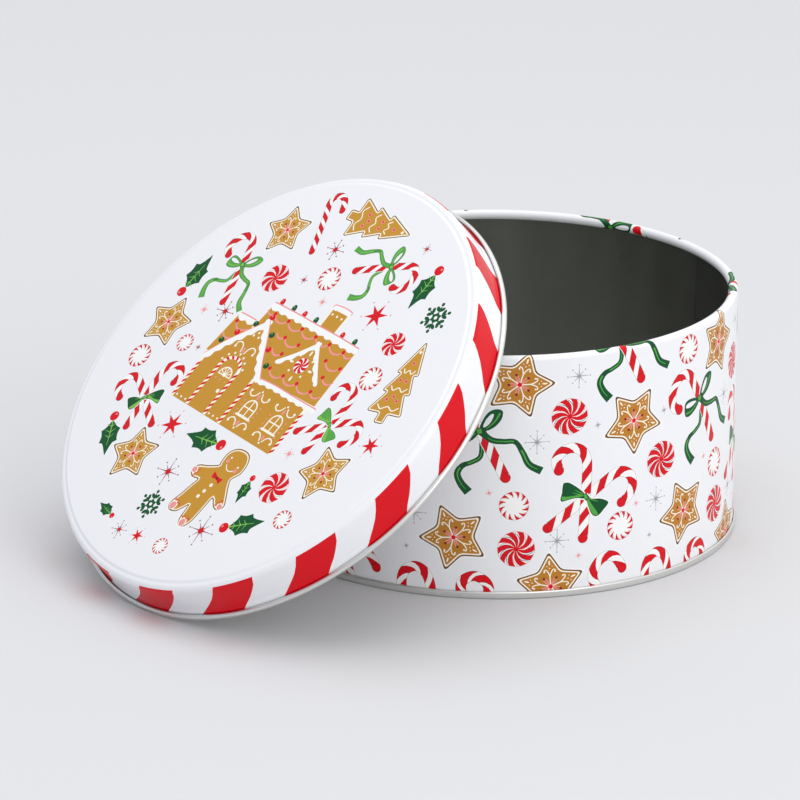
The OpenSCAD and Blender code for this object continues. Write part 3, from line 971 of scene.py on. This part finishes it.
# ---------------------------------------------------------------- lid
def make_lid():
    top = LID_H - T / 2
    turn = SHOULDER - T / 2
    ledge = SKIRT - turn
    path = chain([[0, top], [ledge - 1.9, top]],
                 ease([ledge - 1.9, top], [ledge - 0.4, top - STEP], 10, True),
                 [[ledge - 0.4, top - STEP], [ledge, top - STEP]],
                 arc((ledge, top - STEP - turn), turn, 90, 0, 12),
                 [[SKIRT, top - STEP - turn], [SKIRT, 10.0], [SKIRT, HEM + 3.6]],
                 ease([SKIRT + FLARE, HEM], [SKIRT, HEM + 3.6], 12, False)[::-1],
                 arc((HEM_C, HEM), HEM - T / 2, 180, 470, 26))
    out, inn, nor = sides(path, 1)
    rho = np.concatenate([[0], np.cumsum(np.linalg.norm(np.diff(out, axis=0), axis=1))])
    last = int(np.argmin(np.abs(path[:, 1] - HEM) + 10 * np.abs(path[:, 0] - SKIRT - FLARE)))
    edge = rho[last]
    k_ledge = int(np.argmin(np.linalg.norm(path - [ledge, top - STEP], axis=1)))
    zero = rho[k_ledge]
    stop = edge - 0.35

    shapes = [(np.stack([p[:, 1], -p[:, 0]], 1), ink) for p, ink in ((np.array(q, float), i) for q, i in lid_art())]
    su = np.array([2.25, 4.0, 6.0, 7.5, 9.0, 10.5, 12.0, 13.8, 15.6, 16.6, stop - zero])
    sl = np.interp(su, [2.25, 6, 9, 12, 15.6, 17.4], [0, -1.5, -3.0, -5.0, -7.6, -9.1])
    sr = np.interp(su, [2.25, 6, 9, 12, 15.6, 17.4], [0, -1.1, -2.6, -4.3, -6.8, -8.0])
    for k in range(16):
        a0 = -105.56 + 22.5 * k
        q = [(zero + s, a0 + d) for s, d in zip(su, sl)]
        q += [(stop, a0 + x) for x in np.linspace(sl[-1], 10.8 + sr[-1], 9)[1:-1]]
        q += [(zero + s, a0 + 10.8 + d) for s, d in zip(su[::-1], sr[::-1])]
        q += [(zero + su[0], a0 + x) for x in np.linspace(10.8, 0, 8)[1:-1]]
        shapes.append((np.array([pol(r, a) for r, a in q]), "red"))
    shapes = tidy(shapes, (-edge, -edge), (edge, edge))

    pts, lines = [], []
    ring_of = []
    first_ring = int(np.argmin(np.abs(path[:, 0] - (ledge - 1.9))))
    for i in range(first_ring, last + 1):
        b = len(pts)
        for j in range(NSEG):
            a = TAU * j / NSEG
            pts.append((rho[i] * math.cos(a), rho[i] * math.sin(a)))
            lines.append((b + j, b + (j + 1) % NSEG))
            if ring_of:
                lines.append((ring_of[-1] + j, b + j))
        ring_of.append(b)
    P, F, ink = triangulate(shapes, pts, lines, "coat")
    r2 = np.hypot(P[:, 0], P[:, 1])
    ph = np.arctan2(P[:, 1], P[:, 0])
    on = np.abs(r2 - edge) < 0.004
    r2[on] = edge
    ph[on] = np.round(ph[on] / (TAU / NSEG)) * (TAU / NSEG)
    rr, hh = np.interp(r2, rho, out[:, 0]), np.interp(r2, rho, out[:, 1])
    nr, nh = np.interp(r2, rho, nor[:, 0]), np.interp(r2, rho, nor[:, 1])
    ln = np.hypot(nr, nh)
    s = Sheet()
    V = np.stack([rr * np.cos(ph), rr * np.sin(ph), hh], 1)
    N = np.stack([nr / ln * np.cos(ph), nr / ln * np.sin(ph), nh / ln], 1)
    U = np.stack([0.25 + P[:, 0] / 520, 0.25 + P[:, 1] / 520], 1)
    s.add(V, N, U, F.tolist(), ink.tolist())
    s.rings(out[last:], nor[last:], BARE, flat_uv(0.55), False)
    s.rings(inn, -nor, BARE, disc_uv(0.75, 0.25), True)
    s.rings(np.array([out[-1], inn[-1]]), np.array([[0.3, 0.95]] * 2), BARE, flat_uv(0.6), False)
    cb, sb = math.cos(LEAN), math.sin(LEAN)
    m = np.array([[cb, 0, -sb], [0, 1, 0], [sb, 0, cb]])
    for i in range(len(s.v)):
        s.v[i], s.n[i] = turn_map(s.v[i], s.n[i], m, np.array([LX, 0, LZ]))
    return s.build("lid_printed", FINISH)


# ---------------------------------------------------------------- wall
def make_wall():
    mid = R - T / 2
    c = (R - RIM, H - RIM)
    path = chain([[mid, 0.85], [mid, 3.6], [mid, H - RIM]], arc(c, RIM - T / 2, 0, 300, 24))
    out, inn, nor = sides(path, -1)
    v = 0.85 + np.concatenate([[0], np.cumsum(np.linalg.norm(np.diff(out, axis=0), axis=1))])
    last = 2 + 21
    edge = v[last]
    L = TAU * R
    seam = math.radians(LAP)
    shapes = tidy(wall_art(LAP), (2.2, 1.6), (L - 2.2, v[last - 1] - 0.15))
    pts, lines = [], []
    rows = list(range(0, last + 1))
    for i in rows:
        b = len(pts)
        for j in range(NSEG + 1):
            pts.append((L * j / NSEG, v[i]))
            if j:
                lines.append((b + j - 1, b + j))
            if i:
                lines.append((b + j - NSEG - 1, b + j))
    P, F, ink = triangulate(shapes, pts, lines, "coat")
    k = np.round(P[:, 0] / (L / NSEG))
    on = np.abs(P[:, 0] - k * (L / NSEG)) < 3e-4
    ang = np.where(on, TAU * k / NSEG, P[:, 0] / R)
    vv = P[:, 1].copy()
    for i in rows:
        vv[np.abs(vv - v[i]) < 3e-4] = v[i]
    rr, hh = np.interp(vv, v, out[:, 0]), np.interp(vv, v, out[:, 1])
    nr, nh = np.interp(vv, v, nor[:, 0]), np.interp(vv, v, nor[:, 1])
    ln = np.hypot(nr, nh)
    th = seam + ang
    s = Sheet()
    s.add(np.stack([rr * np.cos(th), rr * np.sin(th), hh], 1),
          np.stack([nr / ln * np.cos(th), nr / ln * np.sin(th), nh / ln], 1),
          np.stack([ang * R * UVK + 0.01, vv * UVK + 0.01], 1), F.tolist(), ink.tolist())
    s.rings(out[last:], nor[last:], BARE, flat_uv(0.20), True, seam)
    # the inner face takes the darkened inside finish, which is painted shade; the lap below uses it too
    s.rings(inn, -nor, INSIDE, flat_uv(0.25), False, seam)
    s.rings(np.array([out[-1], inn[-1]]), np.array([[-0.9, -0.4]] * 2), BARE, flat_uv(0.46), True, seam)
    s.rings(np.array([out[0], inn[0]]), np.array([[0.0, -1.0]] * 2), BARE, flat_uv(0.48), False, seam)
    # the lap: a second thickness of sheet on the inside
    half = math.radians(1.52)
    r0, r1, z0, z1 = R - T + 0.02, R - 1.6 * T, 3.8, H - 2 * RIM - 1.6
    loop_p = [(r0, z0), (r1, z0), (r1, z1), (r0, z1), (r0, z0)]
    nrm = [(0, -1), (-1, 0), (0, 1), (1, 0)]
    for i in range(4):
        s.rings(np.array(loop_p[i:i + 2]), np.array([nrm[i]] * 2), INSIDE, flat_uv(0.5 + 0.02 * i), False, seam - half, 2 * half, 4)
    for a, sg in ((seam - half, -1), (seam + half, 1)):
        t = np.array([-math.sin(a), math.cos(a), 0]) * sg
        q = np.array([[r * math.cos(a), r * math.sin(a), z] for r, z in loop_p[:4]])
        f = (0, 1, 2, 3) if sg > 0 else (3, 2, 1, 0)
        s.add(q, np.repeat(t[None], 4, 0), np.array([[0.9, 0.9], [0.91, 0.9], [0.91, 0.99], [0.9, 0.99]]), [f], [INSIDE])
    return s.build("wall_printed", FINISH)


# ---------------------------------------------------------------- base
def make_base():
    chuck, leg = R - 1.5 * T, SEAM_R - T / 2
    foot = (leg - chuck) / 2
    groove = 2.6
    path = chain([[0, T / 2], [60, T / 2], [80, T / 2]],
                 ease([80, T / 2], [83.5, groove], 12, True),
                 [[83.5, groove], [chuck - 0.6, groove]],
                 arc((chuck - 0.6, groove - 0.6), 0.6, 90, 0, 6),
                 arc((chuck + foot, T / 2 + foot), foot, 180, 360, 16),
                 arc((leg - 0.4, SEAM_H - T / 2 - 0.4), 0.4, 0, 90, 6),
                 [[leg - 0.4, SEAM_H - T / 2], [R + T / 2 + 0.1, SEAM_H - T / 2]])
    up, down, nor = sides(path, 1)
    s = Sheet()
    s.rings(down, -nor, 0, disc_uv(0.25, 0.25), True)
    s.rings(up, nor, 1, disc_uv(0.75, 0.25), False)
    s.rings(np.array([down[-1], up[-1]]), np.array([[-1.0, 0.0]] * 2), 0, flat_uv(0.6), True)
    return s.build("base_tinplate", [FINISH[BARE], FINISH[BARE + 2]])


lid, wall, base = make_lid(), make_wall(), make_base()
for obj, node, body, mat in ((lid, "lid", "lid", "printed_lid"), (wall, "body_wall", "tin", "printed_wall"), (base, "base_plate", "tin", "bare_tinplate")):
    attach(obj, body)
    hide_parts(node)
    print(obj.name, len(obj.data.polygons))

# ---------------------------------------------------------------- stage, light and camera
scene = bpy.context.scene
scene.view_settings.view_transform = "Standard"


def floor_finish(name):
    """Plain pale sweep."""
    m = bpy.data.materials.new(name)
    m.use_nodes = True
    b = m.node_tree.nodes["Principled BSDF"]
    b.inputs["Base Color"].default_value = (0.66, 0.665, 0.68, 1)
    b.inputs["Roughness"].default_value = 0.9
    b.inputs["Specular IOR Level"].default_value = 0.1
    return m


def slab(name, x0, x1, y0, y1, z, mat):
    me = bpy.data.meshes.new(name)
    me.from_pydata([(x0, y0, z), (x1, y0, z), (x1, y1, z), (x0, y1, z)], [], [(0, 1, 2, 3)])
    me.materials.append(mat)
    o = bpy.data.objects.new(name, me)
    scene.collection.objects.link(o)
    return o


slab("studio_floor", -6, 6, -6, 6, -0.00005, floor_finish("studio_floor"))

world = bpy.data.worlds.new("studio")
scene.world = world
world.use_nodes = True
wn = world.node_tree
bg = wn.nodes["Background"]
# a soft dome: brighter behind on the right, dimmer and cooler in front on the left
wtc = wn.nodes.new("ShaderNodeTexCoord")
wdot = wn.nodes.new("ShaderNodeVectorMath")
wdot.operation = "DOT_PRODUCT"
wdot.inputs[1].default_value = Vector((0.50, -0.40, 0.77)).normalized()
wrange = wn.nodes.new("ShaderNodeMapRange")
wrange.inputs["From Min"].default_value = -1.0
wramp = wn.nodes.new("ShaderNodeValToRGB")
wramp.color_ramp.elements[0].position = 0.15
wramp.color_ramp.elements[0].color = (0.27, 0.31, 0.38, 1)
wramp.color_ramp.elements[1].position = 0.9
wramp.color_ramp.elements[1].color = (1.0, 1.0, 1.0, 1)
wn.links.new(wtc.outputs["Generated"], wdot.inputs[0])
wn.links.new(wdot.outputs["Value"], wrange.inputs["Value"])
wn.links.new(wrange.outputs["Result"], wramp.inputs["Fac"])
wn.links.new(wramp.outputs["Color"], bg.inputs["Color"])
bg.inputs["Strength"].default_value = 1.08


def softbox(name, at, aim, w, h, watts, rgb=(1, 1, 1)):
    d = bpy.data.lights.new(name, "AREA")
    d.shape = "RECTANGLE"
    d.size, d.size_y = w, h
    d.energy = watts
    d.color = rgb
    o = bpy.data.objects.new(name, d)
    scene.collection.objects.link(o)
    o.location = at
    o.rotation_euler = (Vector(aim) - Vector(at)).to_track_quat("-Z", "Y").to_euler()
    return o


softbox("overhead", (0.0, 0.15, 1.6), (-0.02, 0, 0.05), 1.6, 1.6, 7.5)
softbox("front", (-0.25, -1.75, 0.9), (0, 0, 0.05), 0.9, 0.9, 6.5)

cam = bpy.data.cameras.new("camera")
cam.lens, cam.sensor_width, cam.sensor_fit = 312.57, 36.0, "HORIZONTAL"
cam.clip_start, cam.clip_end = 0.1, 50
cam.dof.use_dof = False
camera = bpy.data.objects.new("camera", cam)
scene.collection.objects.link(camera)
turn_z = math.pi - 3.82087
place_at = Matrix.Rotation(turn_z, 3, "Z") @ Vector((0, -27.36890, 9.88590)) * 0.094
rot = Matrix.Rotation(turn_z, 3, "Z") @ Matrix.Rotation(0.014485, 3, "Z") @ Matrix.Rotation(-0.330225, 3, "X") @ Matrix.Rotation(-0.006808, 3, "Y")
right, fwd, up = rot @ Vector((1, 0, 0)), rot @ Vector((0, 1, 0)), rot @ Vector((0, 0, 1))
camera.matrix_world = Matrix(((right.x, up.x, -fwd.x, place_at.x), (right.y, up.y, -fwd.y, place_at.y), (right.z, up.z, -fwd.z, place_at.z), (0, 0, 0, 1)))
scene.camera = camera

bpy.context.view_layer.update()
